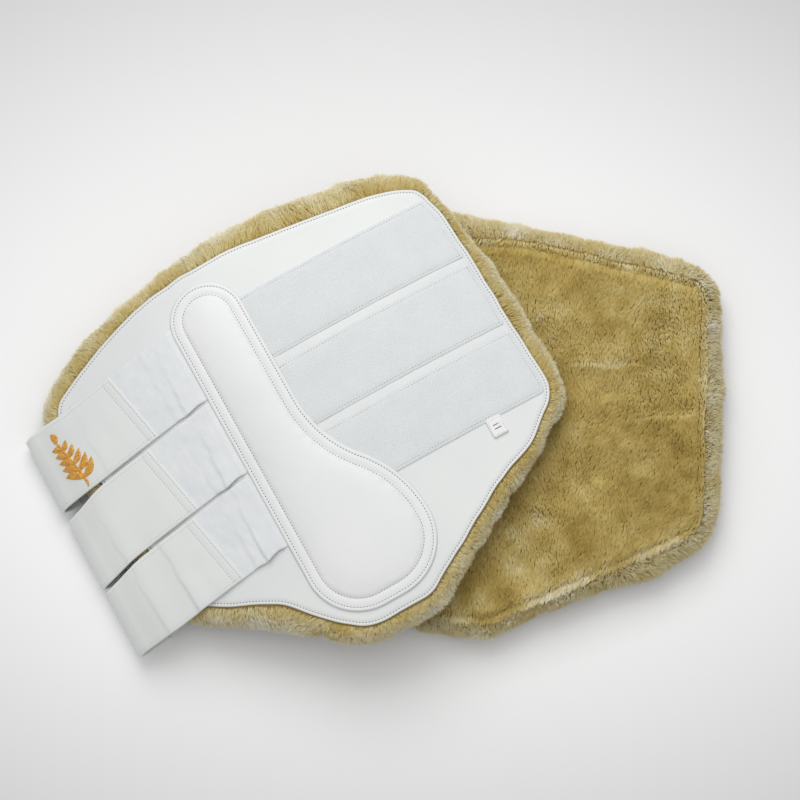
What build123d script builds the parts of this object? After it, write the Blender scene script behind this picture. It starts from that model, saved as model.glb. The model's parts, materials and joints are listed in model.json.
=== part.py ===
from build123d import *
import os
from math import asin, cos, degrees, radians, sin, sqrt, tan

# A pair of fleece-lined horse leg boots as they lie for storage. Boot A lies shell side up
# over boot B, its mirror twin, which lies fleece side up. Millimetres, +Z up.
#
# Each boot has its own flat frame: x runs round the leg, from the straps to the loop strips,
# and y runs up the leg. x = 0 is the line along which the straps are sewn to the strike pad.
# A height in a boot is measured from the face of the fleece that touches the leg, outwards.

# Where the two boots lie in the part's frame: x, y and turn about Z in degrees.
BOOT_A_PLACE = (-18.5, -156.6, 29.2)
BOOT_B_PLACE = (8.4, -132.6, -5.3)

# Layers of a boot, as heights from the leg side.
FLEECE_TOP = 14.0
FOAM_TOP = 18.0
SHELL_TOP = 19.2
LOOP_TOP = 20.4
PAD_FLANGE_TOP = 20.8
PAD_TOP = 25.2
PAD_SKIN = 1.2
RIM_TOP = 18.9

# Boot A is bent over a wide arch about an axis along y.
ARCH_X = 103.0
ARCH_RADIUS = 620.0
ARCH_LOW_X = -103.0
ARCH_LOW_Z = 0.6
ARCH_Z = ARCH_LOW_Z - sqrt(ARCH_RADIUS**2 - (ARCH_LOW_X - ARCH_X)**2)
BEND_MARGIN = 60.0

# Boot B lies flat. Its lining faces up at this height and its strike pad rests on the surface.
FLAT_TOP = PAD_TOP

# Outline of the outer shell in each boot as it lies: the left, crown and right points of its
# arched top edge, the other corners clockwise, and the corner radii. Boot B's edge is
# flattened where boot A presses on it.
TOP_EDGE = {
    "a": [(-91.0, 231.0), (30.0, 264.0), (192.5, 242.0)],
    "b": [(-90.0, 226.0), (30.0, 256.0), (188.0, 239.0)],
}
SHELL_CORNERS = {
    "a": [(197.0, 80.0), (64.0, 4.5), (20.0, 5.0), (-75.0, 78.0)],
    "b": [(196.0, 76.0), (64.0, 3.5), (20.0, 3.5), (-77.0, 71.0)],
}
SHELL_RADII = [20.0, 26.0, 26.0, 14.0]
TOP_RADIUS = 14.0
RIM_WIDTH = 12.0

# Strike pad: a sewn flange round a raised, foam-filled dome.
PAD_FLANGE = 9.0
PAD_WIDTH = 50.0
PAD_HEAD_Y = 254.0
PAD_WAIST_Y = 156.0
PAD_FOOT_Y = 13.0
PAD_LOBE_X = 89.0
PAD_LOBE = 39.0
PAD_HEEL = 36.0

# Hook-and-loop strips on the free wing.
LOOP_WIDTH = 46.5
LOOP_PITCH = 51.5
LOOP_LOW_Y = 83.0
LOOP_LEFT_X = 45.0
LOOP_RIGHT_X = 200.0
LOOP_EDGE_GAP = 4.0
LOOP_PAD_GAP = 0.3

# The free wing turns about this line.
WING_X = 112.0
WING_GAP = 0.3
WRAP_NOTCH_HALF_ANGLE = 30.5

# Straps: elastic at the root, then a tab whose end is rolled under.
STRAP_NAMES = ("lower", "middle", "upper")
STRAP_PITCH = 54.0
STRAP_WIDTH = 52.0
STRAP_LOW_Y = 102.0
STRAP_SLANT = 6.6
SEAM_TILT = 11.5
STRAP_LIFT = 0.3
HINGE_X = -2.0
ELASTIC_THICK = 1.6
TAB_THICK = 2.2
ELASTIC_LENGTHS = (36.8, 41.0, 41.5)
FOLD_X = -109.5
FOLD_LEAF_Z = 1.4
FLAT_FOLD_RADIUS = 6.0
LEAF_END_X = (-94.0, -98.5, -103.5)
HOOK_THICK = 1.0
HOOK_INSET = 3.0
HOOK_START_X = -105.3
TAIL_THICK = 0.8
TAIL_REACH = 6.0
TAIL_GAP = 1.0

# Small trim.
TAG_CENTRE = (152.8, 77.6)
TAG_SIZE = (10.5, 12.5)
TAG_TOP = 21.0
EMBLEM_CENTRE = (-96.0, 196.6)
EMBLEM_RADIUS = 12.5
EMBLEM_THICK = 0.8


def nearest_vertex(face, point):
    """The corner of a flat face that lies nearest to a point."""
    target = Vector(*point, 0)
    return min(face.vertices(), key=lambda vertex: (Vector(*vertex) - target).length)


def shell_outline(lay):
    """The outer shell, flat: an arched top edge, a rounded foot and rounded corners."""
    top_left, crown, top_right = TOP_EDGE[lay.prefix]
    below = SHELL_CORNERS[lay.prefix]
    edges = [ThreePointArc(top_left, crown, top_right)]
    for start, end in zip([top_right] + below, below + [top_left]):
        edges.append(Line(start, end))
    face = make_face(edges)
    corners = below + [top_left, top_right]
    for corner, radius in zip(corners, SHELL_RADII + [TOP_RADIUS, TOP_RADIUS]):
        face = fillet(nearest_vertex(face, corner), radius)
    return face


def pad_outline():
    """The strike pad, flat: narrow at the top and swelling to a round lobe at the foot."""
    head = PAD_WIDTH / 2
    left_foot, left_head = (0.0, PAD_FOOT_Y + PAD_HEEL), (0.0, PAD_HEAD_Y - head)
    right_head, waist = (PAD_WIDTH, PAD_HEAD_Y - head), (PAD_WIDTH, PAD_WAIST_Y)
    lobe = (PAD_LOBE_X, PAD_FOOT_Y + PAD_LOBE)
    swell = ((PAD_WIDTH + PAD_LOBE_X) / 2, (PAD_WAIST_Y + lobe[1]) / 2)
    foot_right, foot_left = (PAD_LOBE_X - PAD_LOBE, PAD_FOOT_Y), (PAD_HEEL, PAD_FOOT_Y)
    return make_face([
        Line(left_foot, left_head),
        ThreePointArc(left_head, (head, PAD_HEAD_Y), right_head),
        Line(right_head, waist),
        TangentArc(waist, swell, tangent=(0, -1)),
        TangentArc(lobe, swell, tangent=(0, 1)),
        TangentArc(lobe, foot_right, tangent=(0, -1)),
        Line(foot_right, foot_left),
        TangentArc(left_foot, foot_left, tangent=(0, -1)),
    ])


def box_face(low_x, high_x, low_y, high_y):
    """A flat rectangle between two corners."""
    centre = ((low_x + high_x) / 2, (low_y + high_y) / 2)
    return Pos(*centre) * Rectangle(high_x - low_x, high_y - low_y)


def strap_face(index, from_x, to_x):
    """The stretch of one strap, seen flat, between two lines along y."""
    drop = tan(radians(STRAP_SLANT))
    middle = STRAP_LOW_Y + index * STRAP_PITCH
    half = STRAP_WIDTH / 2
    return make_face(Polyline(
        (from_x, middle + from_x * drop + half),
        (to_x, middle + to_x * drop + half),
        (to_x, middle + to_x * drop - half),
        (from_x, middle + from_x * drop - half),
        close=True,
    ))


def seam_face(index, far_side):
    """The half plane on one side of a strap's slanting elastic seam."""
    reach = 200.0
    seam_x = HINGE_X - ELASTIC_LENGTHS[index]
    middle = STRAP_LOW_Y + index * STRAP_PITCH + seam_x * tan(radians(STRAP_SLANT))
    side = -reach / 2 if far_side else reach / 2
    return Pos(seam_x, middle) * Rot(0, 0, SEAM_TILT) * Pos(side, 0) * Rectangle(reach, reach)


class ArchedLay:
    """Boot A: heights are measured outwards along the radii of its arch."""

    prefix = "a"

    def slab(self, face, low, high):
        """The layer between two heights over a flat outline."""
        tall = Pos(0, 0, -BEND_MARGIN) * extrude(face, amount=4 * BEND_MARGIN)
        length = 4 * BEND_MARGIN + 200.0
        outer = Cylinder(ARCH_RADIUS + high, length)
        inner = Cylinder(ARCH_RADIUS + low, length + 1)
        bend = Pos(ARCH_X, length / 4, ARCH_Z) * Rot(90, 0, 0) * (outer - inner)
        return tall & bend

    def place_at(self, x, height):
        """The point, in x and z, at a height over a given x."""
        radius = ARCH_RADIUS + height
        return x, ARCH_Z + sqrt(radius**2 - (x - ARCH_X)**2)

    def tab_profile(self, index):
        """Section of a tab in x and z: along the arch, round the roll and back underneath."""
        middle = SHELL_TOP + STRAP_LIFT + TAB_THICK / 2
        radius = ARCH_RADIUS + middle
        tilt = asin((FOLD_X - ARCH_X) / radius)
        top_x, top_z = self.place_at(FOLD_X, middle)
        roll = (top_z - FOLD_LEAF_Z) / (1 + cos(tilt))
        centre = (top_x - roll * sin(tilt), top_z - roll * cos(tilt))
        start = 90 - degrees(tilt)
        half = TAB_THICK / 2
        arch = (ARCH_X, ARCH_Z)
        near = 90 - degrees(asin((HINGE_X - ARCH_X) / radius))
        outer_arch = CenterArc(arch, radius + half, near, start - near)
        inner_arch = CenterArc(arch, radius - half, near, start - near)
        outer_roll = CenterArc(centre, roll + half, start, 270 - start)
        inner_roll = CenterArc(centre, roll - half, start, 270 - start)
        leaf = LEAF_END_X[index]
        return make_face([
            outer_arch,
            outer_roll,
            Line(outer_roll @ 1, (leaf, FOLD_LEAF_Z - half)),
            Line((leaf, FOLD_LEAF_Z - half), (leaf, FOLD_LEAF_Z + half)),
            Line((leaf, FOLD_LEAF_Z + half), inner_roll @ 1),
            inner_roll,
            inner_arch,
            Line(inner_arch @ 0, outer_arch @ 0),
        ])

    def leaf_hook_heights(self):
        """Lowest and highest z of the hook patch, on the inner face of the rolled end."""
        low = FOLD_LEAF_Z + TAB_THICK / 2
        return low, low + HOOK_THICK


class FlatLay:
    """Boot B: it lies flat with its lining up, so heights run down from the lining."""

    prefix = "b"

    def slab(self, face, low, high):
        """The layer between two heights over a flat outline."""
        return Pos(0, 0, FLAT_TOP - high) * extrude(face, amount=high - low)

    def place_at(self, x, height):
        """The point, in x and z, at a height over a given x."""
        return x, FLAT_TOP - height

    def tab_profile(self, index):
        """Section of a tab in x and z: flat, round the roll and back above."""
        _, low_z = self.place_at(0, SHELL_TOP + STRAP_LIFT + TAB_THICK / 2)
        half = TAB_THICK / 2
        centre = (FOLD_X, low_z + FLAT_FOLD_RADIUS)
        high_z = low_z + 2 * FLAT_FOLD_RADIUS
        outer_roll = CenterArc(centre, FLAT_FOLD_RADIUS + half, 90, 180)
        inner_roll = CenterArc(centre, FLAT_FOLD_RADIUS - half, 90, 180)
        leaf = LEAF_END_X[index]
        return make_face([
            outer_roll,
            Line(outer_roll @ 1, (HINGE_X, low_z - half)),
            Line((HINGE_X, low_z - half), (HINGE_X, low_z + half)),
            Line((HINGE_X, low_z + half), inner_roll @ 1),
            inner_roll,
            Line(inner_roll @ 0, (leaf, high_z - half)),
            Line((leaf, high_z - half), (leaf, high_z + half)),
            Line((leaf, high_z + half), outer_roll @ 0),
        ])

    def leaf_hook_heights(self):
        """Lowest and highest z of the hook patch, on the inner face of the rolled end."""
        _, low_z = self.place_at(0, SHELL_TOP + STRAP_LIFT + TAB_THICK / 2)
        high = low_z + 2 * FLAT_FOLD_RADIUS - TAB_THICK / 2
        return high - HOOK_THICK, high


def left_of_wing():
    """Everything on the main side of the wing's hinge line."""
    return box_face(-300, WING_X - WING_GAP / 2, -100, 400)


def right_of_wing():
    """Everything on the wing's side of its hinge line."""
    return box_face(WING_X + WING_GAP / 2, 400, -100, 400)


def lining_layers(lay):
    """Fleece lining with its raised rim, foam and outer shell, each in a main and a wing piece."""
    shell = shell_outline(lay)
    rim = offset(shell, amount=RIM_WIDTH, kind=Kind.ARC)
    parts = {}
    for side, half in (("", left_of_wing()), ("_wing", right_of_wing())):
        fleece = lay.slab(rim & half, 0, RIM_TOP) - lay.slab(shell & half, FLEECE_TOP, PAD_TOP)
        parts["fleece_lining" + side] = fleece
        parts["foam_layer" + side] = lay.slab(shell & half, FLEECE_TOP, FOAM_TOP)
        parts["outer_shell" + side] = lay.slab(shell & half, FOAM_TOP, SHELL_TOP)
    return parts


def wrap_notch():
    """The wedge left open in boot B's fleece, so that its wing can wrap upwards."""
    _, hinge_z = FlatLay().place_at(0, FLEECE_TOP)
    rise = FLEECE_TOP + 1.0
    spread = WING_GAP / 2 + rise * tan(radians(WRAP_NOTCH_HALF_ANGLE))
    profile = Plane.XZ * make_face(Polyline(
        (WING_X - WING_GAP / 2, hinge_z),
        (WING_X - spread, hinge_z + rise),
        (WING_X + spread, hinge_z + rise),
        (WING_X + WING_GAP / 2, hinge_z),
        close=True,
    ))
    return extrude(profile, amount=400, both=True)


def strap_tails(lay):
    """The ends of the elastics that are sewn under the strike pad, outside and inside its edge."""
    tails = []
    for index in range(len(STRAP_NAMES)):
        face = strap_face(index, -TAIL_GAP, TAIL_REACH)
        tails.append(lay.slab(face, SHELL_TOP, SHELL_TOP + TAIL_THICK))
    return tails


def strike_pad(lay, tails):
    """The strike pad's moulded cover and the foam inside it."""
    outline = pad_outline()
    dome = offset(outline, amount=-PAD_FLANGE)
    hollow = offset(outline, amount=-PAD_FLANGE - PAD_SKIN)
    core = lay.slab(hollow, SHELL_TOP, PAD_TOP - PAD_SKIN)
    cover = lay.slab(outline, SHELL_TOP, PAD_FLANGE_TOP) + lay.slab(dome, SHELL_TOP, PAD_TOP)
    cover = cover - core
    for tail in tails:
        cover = cover - tail
    return {"strike_pad_cover": cover, "strike_pad_foam": core}


def tag_face():
    """The small sewn size tag, flat."""
    return Pos(*TAG_CENTRE) * Rectangle(*TAG_SIZE)


def loop_strips(lay):
    """Three loop strips, each in a main piece beside the pad and a piece on the wing."""
    clear = offset(pad_outline(), amount=LOOP_PAD_GAP)
    within = offset(shell_outline(lay), amount=-LOOP_EDGE_GAP)
    parts = {}
    for index, name in enumerate(STRAP_NAMES):
        low = LOOP_LOW_Y + index * LOOP_PITCH
        strip = box_face(LOOP_LEFT_X, LOOP_RIGHT_X, low, low + LOOP_WIDTH)
        strip = (strip & within) - clear - tag_face()
        parts[f"loop_strip_{name}"] = lay.slab(strip & left_of_wing(), SHELL_TOP, LOOP_TOP)
        parts[f"loop_strip_{name}_wing"] = lay.slab(strip & right_of_wing(), SHELL_TOP, LOOP_TOP)
    return parts


def strap_parts(lay, index):
    """One strap: its elastic, its tab with the rolled end, and the hook patch in the roll."""
    low = SHELL_TOP + STRAP_LIFT
    elastic_face = strap_face(index, HINGE_X, FOLD_X) & seam_face(index, far_side=False)
    elastic = lay.slab(elastic_face, low, low + ELASTIC_THICK)
    beyond = strap_face(index, HINGE_X, FOLD_X - 30) & seam_face(index, far_side=True)
    column = Pos(0, 0, -BEND_MARGIN) * extrude(beyond, amount=4 * BEND_MARGIN)
    tab = extrude(Plane.XZ * lay.tab_profile(index), amount=400, both=True) & column
    hook_low, hook_high = lay.leaf_hook_heights()
    hook_face = strap_face(index, HOOK_START_X, LEAF_END_X[index] - 0.5)
    hook_face = hook_face & offset(strap_face(index, HINGE_X, FOLD_X - 30), amount=-HOOK_INSET)
    hook = Pos(0, 0, hook_low) * extrude(hook_face, amount=hook_high - hook_low)
    name = STRAP_NAMES[index]
    return {f"elastic_{name}": elastic, f"strap_tab_{name}": tab, f"hook_patch_{name}": hook}


def boot(lay):
    """Every piece of one boot, in the boot's own frame."""
    parts = lining_layers(lay)
    tails = strap_tails(lay)
    parts.update(strike_pad(lay, tails))
    parts["elastic_tails"] = Compound([tail.solid() for tail in tails])
    parts.update(loop_strips(lay))
    for index in range(len(STRAP_NAMES)):
        parts.update(strap_parts(lay, index))
    parts["size_tag"] = lay.slab(tag_face(), SHELL_TOP, TAG_TOP)
    emblem = Pos(*EMBLEM_CENTRE) * Circle(EMBLEM_RADIUS)
    outside = SHELL_TOP + STRAP_LIFT + TAB_THICK
    parts["strap_emblem"] = lay.slab(emblem, outside, outside + EMBLEM_THICK)
    return parts


def place(x, y, turn):
    """From a boot's own frame to the part's frame."""
    return Location((x, y, 0), (0, 0, turn))


def pair():
    """Both boots where they lie, by node name."""
    upper = boot(ArchedLay())
    lower = boot(FlatLay())
    for side in ("", "_wing"):
        name = "fleece_lining" + side
        lower[name] = lower[name] - wrap_notch()
    placed = {f"boot_a_{name}": place(*BOOT_A_PLACE) * part for name, part in upper.items()}
    placed.update({f"boot_b_{name}": place(*BOOT_B_PLACE) * part for name, part in lower.items()})
    return placed


def main():
    os.makedirs("parts", exist_ok=True)
    for name, part in pair().items():
        export_step(part, f"parts/{name}.step")


if __name__ == "__main__":
    main()
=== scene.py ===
import json
from math import asin, cos, pi, radians, sin, sqrt, tan

import bpy
import numpy as np
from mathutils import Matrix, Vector
from mathutils.geometry import delaunay_2d_cdt


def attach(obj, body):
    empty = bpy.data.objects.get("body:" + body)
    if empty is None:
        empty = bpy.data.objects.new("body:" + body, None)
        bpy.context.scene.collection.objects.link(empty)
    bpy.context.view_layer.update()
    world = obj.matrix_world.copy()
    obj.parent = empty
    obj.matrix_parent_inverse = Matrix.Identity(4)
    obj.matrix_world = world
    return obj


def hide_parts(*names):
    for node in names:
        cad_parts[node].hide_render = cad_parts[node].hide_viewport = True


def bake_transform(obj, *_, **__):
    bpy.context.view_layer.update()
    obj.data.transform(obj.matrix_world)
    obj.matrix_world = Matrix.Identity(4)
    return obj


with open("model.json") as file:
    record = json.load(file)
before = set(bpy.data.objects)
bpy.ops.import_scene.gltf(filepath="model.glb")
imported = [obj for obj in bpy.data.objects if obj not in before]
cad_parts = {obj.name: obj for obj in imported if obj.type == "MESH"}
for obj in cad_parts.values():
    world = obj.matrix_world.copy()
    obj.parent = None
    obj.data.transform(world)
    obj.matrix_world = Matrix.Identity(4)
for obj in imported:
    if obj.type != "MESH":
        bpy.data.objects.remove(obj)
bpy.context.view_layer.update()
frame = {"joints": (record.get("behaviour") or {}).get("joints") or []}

# A pair of fleece-lined horse leg boots. Each boot is shaped in its own flat frame, in
# millimetres: x runs round the leg, y up the leg, and h outwards from the leg. Lay turns
# that frame into the model frame, which is in metres.
MM = 0.001

# Layers of a boot, as heights from the leg side.
FLEECE_TOP, FOAM_TOP, SHELL_TOP, LOOP_TOP, PAD_TOP = 14.0, 18.0, 19.2, 20.4, 25.2

# Boot A's arch, and boot B's flat lay.
ARCH_X, ARCH_RADIUS = 103.0, 620.0
ARCH_Z = 0.6 - sqrt(ARCH_RADIUS**2 - 206.0**2)
FLAT_TOP = PAD_TOP

# Outer shell of each boot: the left, crown and right points of its top edge, and the corners
# below, clockwise.
TOP_EDGE = {
    "a": [(-91.0, 231.0), (30.0, 264.0), (192.5, 242.0)],
    "b": [(-90.0, 226.0), (30.0, 256.0), (188.0, 239.0)],
}
SHELL_CORNERS = {
    "a": [(197.0, 80.0), (64.0, 4.5), (20.0, 5.0), (-75.0, 78.0)],
    "b": [(196.0, 76.0), (64.0, 3.5), (20.0, 3.5), (-77.0, 71.0)],
}
SHELL_RADII = [20.0, 26.0, 26.0, 14.0]
TOP_RADIUS = 14.0
WING_X = 112.0
RIM_WIDTH = 12.0

# Where a soft edge swells out from, or is drawn in behind, that outline: x, y, amount, reach.
SHELL_SWELL = {
    "a": [(-20, 256, 2.2, 48), (112, 261, -5.8, 52), (191, 238, -4.2, 15), (165, 61, 4.2, 19),
          (-27, 41, -7.2, 26)],
    "b": [(125, 260, -4, 40), (-30, 38, -4, 23)],
}
RIM_SWELL = {
    "a": [(-50, 260, 3.6, 45), (60, 277, 2.6, 50), (155, 266, 2.2, 24), (204, 240, -11.5, 20),
          (205, 205, -4.5, 24), (206, 150, 2, 24), (-30, 28, -2, 34)],
    "b": [(15, 266, 9.5, 31), (168, 47, 6.6, 22), (112, 267, -3, 32), (95, 8, -2.3, 20),
          (205, 155, 3, 42), (196, 243, -4, 12)],
}

# Strike pad.
PAD_WIDTH, PAD_HEAD_Y, PAD_WAIST_Y, PAD_FOOT_Y = 50.0, 254.0, 156.0, 13.0
PAD_LOBE_X, PAD_LOBE, PAD_HEEL = 89.0, 39.0, 36.0
PAD_FLANGE = 9.0

# Loop strips.
LOOP_WIDTH, LOOP_PITCH, LOOP_LOW_Y, LOOP_START_X, LOOP_EDGE_GAP = 46.5, 51.5, 83.0, 47.0, 4.0

# Straps.
STRAP_NAMES = ("lower", "middle", "upper")
STRAP_PITCH, STRAP_WIDTH, STRAP_LOW_Y = 54.0, 52.0, 102.0
SLANT, SEAM_SLANT = tan(radians(6.6)), 0.199
HINGE_X, FOLD_X = -2.0, -109.5
ELASTIC_LENGTHS = (36.8, 41.0, 41.5)
LEAF_END_X = (-94.0, -98.5, -103.5)
HOOK_START_X = -105.3
ELASTIC_THICK, TAB_THICK, STRAP_LIFT = 1.6, 2.2, 0.3
ELASTIC_ROOT, ELASTIC_LAP = 4.5, 5.0
LEAF_Z = 1.4
FLAT_ROLL = 6.0

TAG_CENTRE, TAG_SIZE = (152.8, 77.6), (10.5, 12.5)
EMBLEM_CENTRE, EMBLEM_SCALE = (-96.0, 196.6), 1.8


# ---- numbers and noise

def smooth(t):
    """0 below 0, 1 above 1, and smooth between."""
    t = np.clip(t, 0.0, 1.0)
    return t * t * (3.0 - 2.0 * t)


def bump(t):
    """A round bump, 1 at t = 0 and nearly 0 beyond 2."""
    return np.exp(-np.square(t))


def noise(x, y, scale, seed):
    """Smooth random field from -1 to 1, with features about scale wide."""
    grid = np.random.default_rng(seed).uniform(-1.0, 1.0, (64, 64))
    u, v = np.asarray(x) / scale + 17.0, np.asarray(y) / scale + 29.0
    i, j = np.floor(u).astype(int), np.floor(v).astype(int)
    a, b = smooth(u - i), smooth(v - j)
    i0, j0, i1, j1 = i % 64, j % 64, (i + 1) % 64, (j + 1) % 64
    low = grid[i0, j0] * (1 - a) + grid[i1, j0] * a
    high = grid[i0, j1] * (1 - a) + grid[i1, j1] * a
    return low * (1 - b) + high * b


def unit(vectors):
    """Rows scaled to length 1."""
    return vectors / np.maximum(np.linalg.norm(vectors, axis=-1, keepdims=True), 1e-9)


# ---- how the boots lie

class Lay:
    """Turns a boot's own coordinates into the model frame."""

    def __init__(self, letter):
        self.letter = letter
        self.arched = letter == "a"
        self.body, self.wing = f"boot_{letter}", self.named("wing")
        joints = {joint["name"]: joint for joint in frame["joints"]}
        root = joints[self.named("strap_lower_open")]
        self.y_axis = np.array(root["axis"])
        self.x_axis = np.array([self.y_axis[1], -self.y_axis[0], 0.0])
        root_y = STRAP_LOW_Y + HINGE_X * SLANT
        self.origin = np.array(root["pos_m"]) - (self.x_axis * HINGE_X + self.y_axis * root_y) * MM
        self.origin[2] = 0.0
        self.turn = np.arctan2(self.x_axis[1], self.x_axis[0])

    def named(self, part):
        """A name with this boot's own before it."""
        return f"boot_{self.letter}_{part}"

    def sag(self, x, y, h):
        """The soft unevenness of the lay, in mm, upwards."""
        broad = 0.9 * noise(x, y, 74.0, 11 if self.arched else 12)
        if self.arched:
            return broad * smooth((np.asarray(x) + 95.0) / 60.0)
        return broad * smooth(1.0 - np.asarray(h) / 16.0)

    def height(self, x, y, h):
        """z in mm over a point of the flat frame."""
        x = np.asarray(x, float)
        if self.arched:
            z = ARCH_Z + np.sqrt(np.square(ARCH_RADIUS + h) - np.square(x - ARCH_X))
        else:
            z = FLAT_TOP - np.asarray(h, float) + 0.0 * x
        return z + self.sag(x, y, h)

    def to_model(self, x, y, z):
        """Model frame points in metres from x, y and z in mm."""
        x, y, z = np.broadcast_arrays(np.asarray(x, float), y, z)
        flat = x[..., None] * self.x_axis + y[..., None] * self.y_axis
        points = self.origin + flat * MM
        points[..., 2] = z * MM
        return points

    def place(self, local):
        """Model frame points in metres from rows of x, y and h in mm."""
        x, y, h = local[..., 0], local[..., 1], local[..., 2]
        return self.to_model(x, y, self.height(x, y, h))

    def direction(self, local):
        """Model frame directions from rows of x, y and h."""
        flat = local[:, :1] * self.x_axis + local[:, 1:2] * self.y_axis
        flat[:, 2] = local[:, 2] if self.arched else -local[:, 2]
        return flat

    def model_point(self, x, y, h):
        """One model frame point."""
        return tuple(float(c) for c in self.place(np.array([x, y, h], float)))


# ---- flat outlines

OUTLINE_STEP = 1.5


def circle(centre, radius, first, sweep):
    """Points of a circle arc, from an angle and round by another."""
    angles = first + np.linspace(0, sweep, max(3, int(abs(sweep) * radius / OUTLINE_STEP)))
    return np.array(centre) + radius * np.stack([np.cos(angles), np.sin(angles)], 1)


def arc(first, through, last):
    """Points of the circle arc through three points."""
    (ax, ay), (bx, by), (cx, cy) = first, through, last
    d = 2 * (ax * (by - cy) + bx * (cy - ay) + cx * (ay - by))
    sa, sb, sc = ax * ax + ay * ay, bx * bx + by * by, cx * cx + cy * cy
    ux = (sa * (by - cy) + sb * (cy - ay) + sc * (ay - by)) / d
    uy = (sa * (cx - bx) + sb * (ax - cx) + sc * (bx - ax)) / d
    a0, middle, a1 = (np.arctan2(y - uy, x - ux) for x, y in (first, through, last))
    sweep = (a1 - a0) % (2 * pi)
    if (middle - a0) % (2 * pi) > sweep:
        sweep -= 2 * pi
    return circle((ux, uy), sqrt((ax - ux)**2 + (ay - uy)**2), a0, sweep)


def line(first, last):
    """Evenly spaced points of a straight line."""
    first, last = np.array(first, float), np.array(last, float)
    count = max(2, int(np.linalg.norm(last - first) / OUTLINE_STEP))
    return first + (last - first) * np.linspace(0, 1, count)[:, None]


def lengths_along(points):
    """Distance of each point from the first, along the line."""
    steps = np.linalg.norm(np.diff(points, axis=0), axis=1)
    return np.concatenate([[0.0], np.cumsum(steps)])


def rows_at(places, along, rows):
    """Rows interpolated at places along a line, from the rows at its points."""
    return np.stack([np.interp(places, along, column) for column in rows.T], 1)


def cut(points, start, end):
    """The line without its first and last stretch."""
    along = lengths_along(points)
    return rows_at(np.linspace(start, along[-1] - end, max(3, len(points))), along, points)


def resample(points, spacing, closed=True):
    """The same line with evenly spaced points."""
    if closed:
        points = np.vstack([points, points[:1]])
    along = lengths_along(points)
    count = max(4, int(round(along[-1] / spacing)))
    places = np.linspace(0, along[-1], count + 1)
    return rows_at(places[:-1] if closed else places, along, points)


def rounded(edges, radii):
    """A closed outline of edges laid end to end, with each corner rounded."""
    trims = []
    for here, there in zip(edges, edges[1:] + edges[:1]):
        u, v = unit(here[-1] - here[-2]), unit(there[1] - there[0])
        trims.append(np.arctan2(u[0] * v[1] - u[1] * v[0], u @ v))
    cuts = [abs(radius * tan(turn / 2)) for radius, turn in zip(radii, trims)]
    shortened = [cut(edge, cuts[i - 1], cuts[i]) for i, edge in enumerate(edges)]
    points = []
    for i, edge in enumerate(shortened):
        points.append(edge[:-1])
        u = unit(edge[-1] - edge[-2])
        side = np.array([-u[1], u[0]]) * np.sign(trims[i])
        centre = edge[-1] + side * radii[i]
        angles = np.linspace(0, trims[i], 12)[:, None]
        spoke = edge[-1] - centre
        across = np.array([-spoke[1], spoke[0]])
        points.append(centre + spoke * np.cos(angles) + across * np.sin(angles))
    return np.vstack(points)


def shell_loop(letter):
    """Outline of the outer shell, clockwise."""
    left, crown, right = TOP_EDGE[letter]
    below = SHELL_CORNERS[letter]
    edges = [arc(left, crown, right)]
    for start, end in zip([right] + below, below + [left]):
        edges.append(line(start, end))
    return rounded(edges, [TOP_RADIUS] + SHELL_RADII + [TOP_RADIUS])


def swell(points, bumps):
    """How far a soft edge stands out from its outline at each point."""
    total = np.zeros(len(points))
    for x, y, amount, reach in bumps:
        total += amount * np.exp(-np.sum(np.square(points - (x, y)), 1) / reach**2)
    return total


def soft_loop(letter, spacing):
    """Outline of the outer shell as it lies, with its soft bends, and the rim's width past it."""
    loop = resample(shell_loop(letter), spacing)
    inner, outer = swell(loop, SHELL_SWELL[letter]), swell(loop, RIM_SWELL[letter])
    inner += 0.45 * noise(loop[:, 0], loop[:, 1], 11.0, 3)
    return offset_loop(loop, inner[:, None]), RIM_WIDTH + outer - inner


def pad_loop():
    """Outline of the strike pad, clockwise: a narrow head, a swelling flank, a round lobe."""
    head = PAD_WIDTH / 2
    lobe_y = PAD_FOOT_Y + PAD_LOBE
    side, drop = PAD_LOBE_X - PAD_WIDTH, PAD_WAIST_Y - lobe_y
    turn = 2 * np.arctan(side / drop)
    bend = side / 2 / (1 - cos(turn))
    return np.vstack([
        line((0, PAD_FOOT_Y + PAD_HEEL), (0, PAD_HEAD_Y - head))[:-1],
        circle((head, PAD_HEAD_Y - head), head, pi, -pi)[:-1],
        line((PAD_WIDTH, PAD_HEAD_Y - head), (PAD_WIDTH, PAD_WAIST_Y))[:-1],
        circle((PAD_WIDTH + bend, PAD_WAIST_Y), bend, pi, turn)[:-1],
        circle((PAD_LOBE_X - bend, lobe_y), bend, turn, -turn)[:-1],
        circle((PAD_LOBE_X - PAD_LOBE, lobe_y), PAD_LOBE, 0.0, -pi / 2)[:-1],
        line((PAD_LOBE_X - PAD_LOBE, PAD_FOOT_Y), (PAD_HEEL, PAD_FOOT_Y))[:-1],
        circle((PAD_HEEL, PAD_FOOT_Y + PAD_HEEL), PAD_HEEL, -pi / 2, -pi / 2)[:-1],
    ])


def box_loop(low_x, high_x, low_y, high_y, radius):
    """A rectangle with rounded corners, clockwise."""
    a, b, c, d = (low_x, low_y), (low_x, high_y), (high_x, high_y), (high_x, low_y)
    return rounded([line(a, b), line(b, c), line(c, d), line(d, a)], [radius] * 4)


def offset_loop(loop, distance):
    """The outline moved outwards, or inwards where distance is negative."""
    along = unit(np.roll(loop, -1, 0) - np.roll(loop, 1, 0))
    outward = np.stack([-along[:, 1], along[:, 0]], 1)
    return loop + outward * distance


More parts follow.
